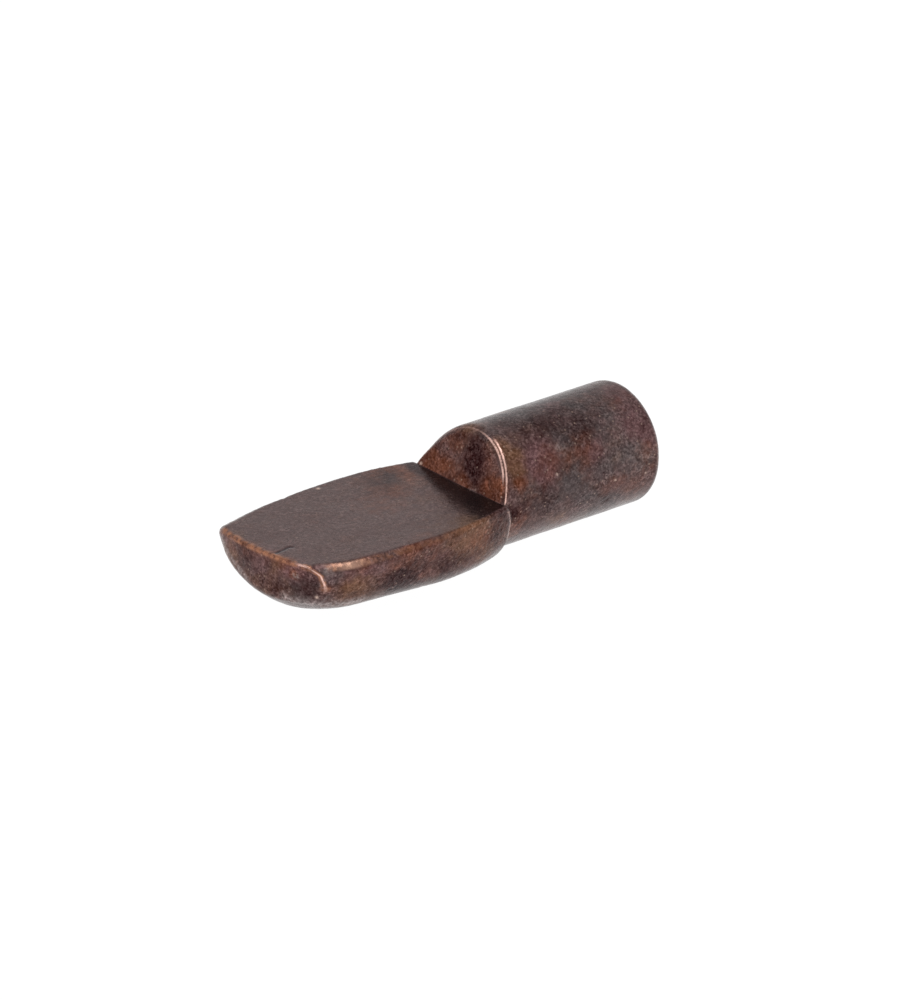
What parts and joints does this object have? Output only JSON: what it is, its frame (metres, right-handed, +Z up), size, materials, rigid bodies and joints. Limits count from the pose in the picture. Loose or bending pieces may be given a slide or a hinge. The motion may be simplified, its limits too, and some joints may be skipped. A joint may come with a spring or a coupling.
{
  "type": "shelf support pin",
  "caption": "Metal shelf support with a round pin that fits a hole in a cabinet side and a flat spoon-shaped rest that carries the shelf.",
  "frame": {"origin": "on the pin's axis, in the plane of the shoulder that stops against the cabinet side", "axes": "+X along the pin to its free end, +Z up out of the seat that carries the shelf, +Y to the side"},
  "size_m": [0.0183, 0.007, 0.0055],
  "materials": {
    "antique_copper": "dull dark antique copper plating, finely speckled, worn to bright copper along the edges"
  },
  "bodies": {
    "root": {"shelf_pin": "antique_copper"}
  },
  "joints": []
}
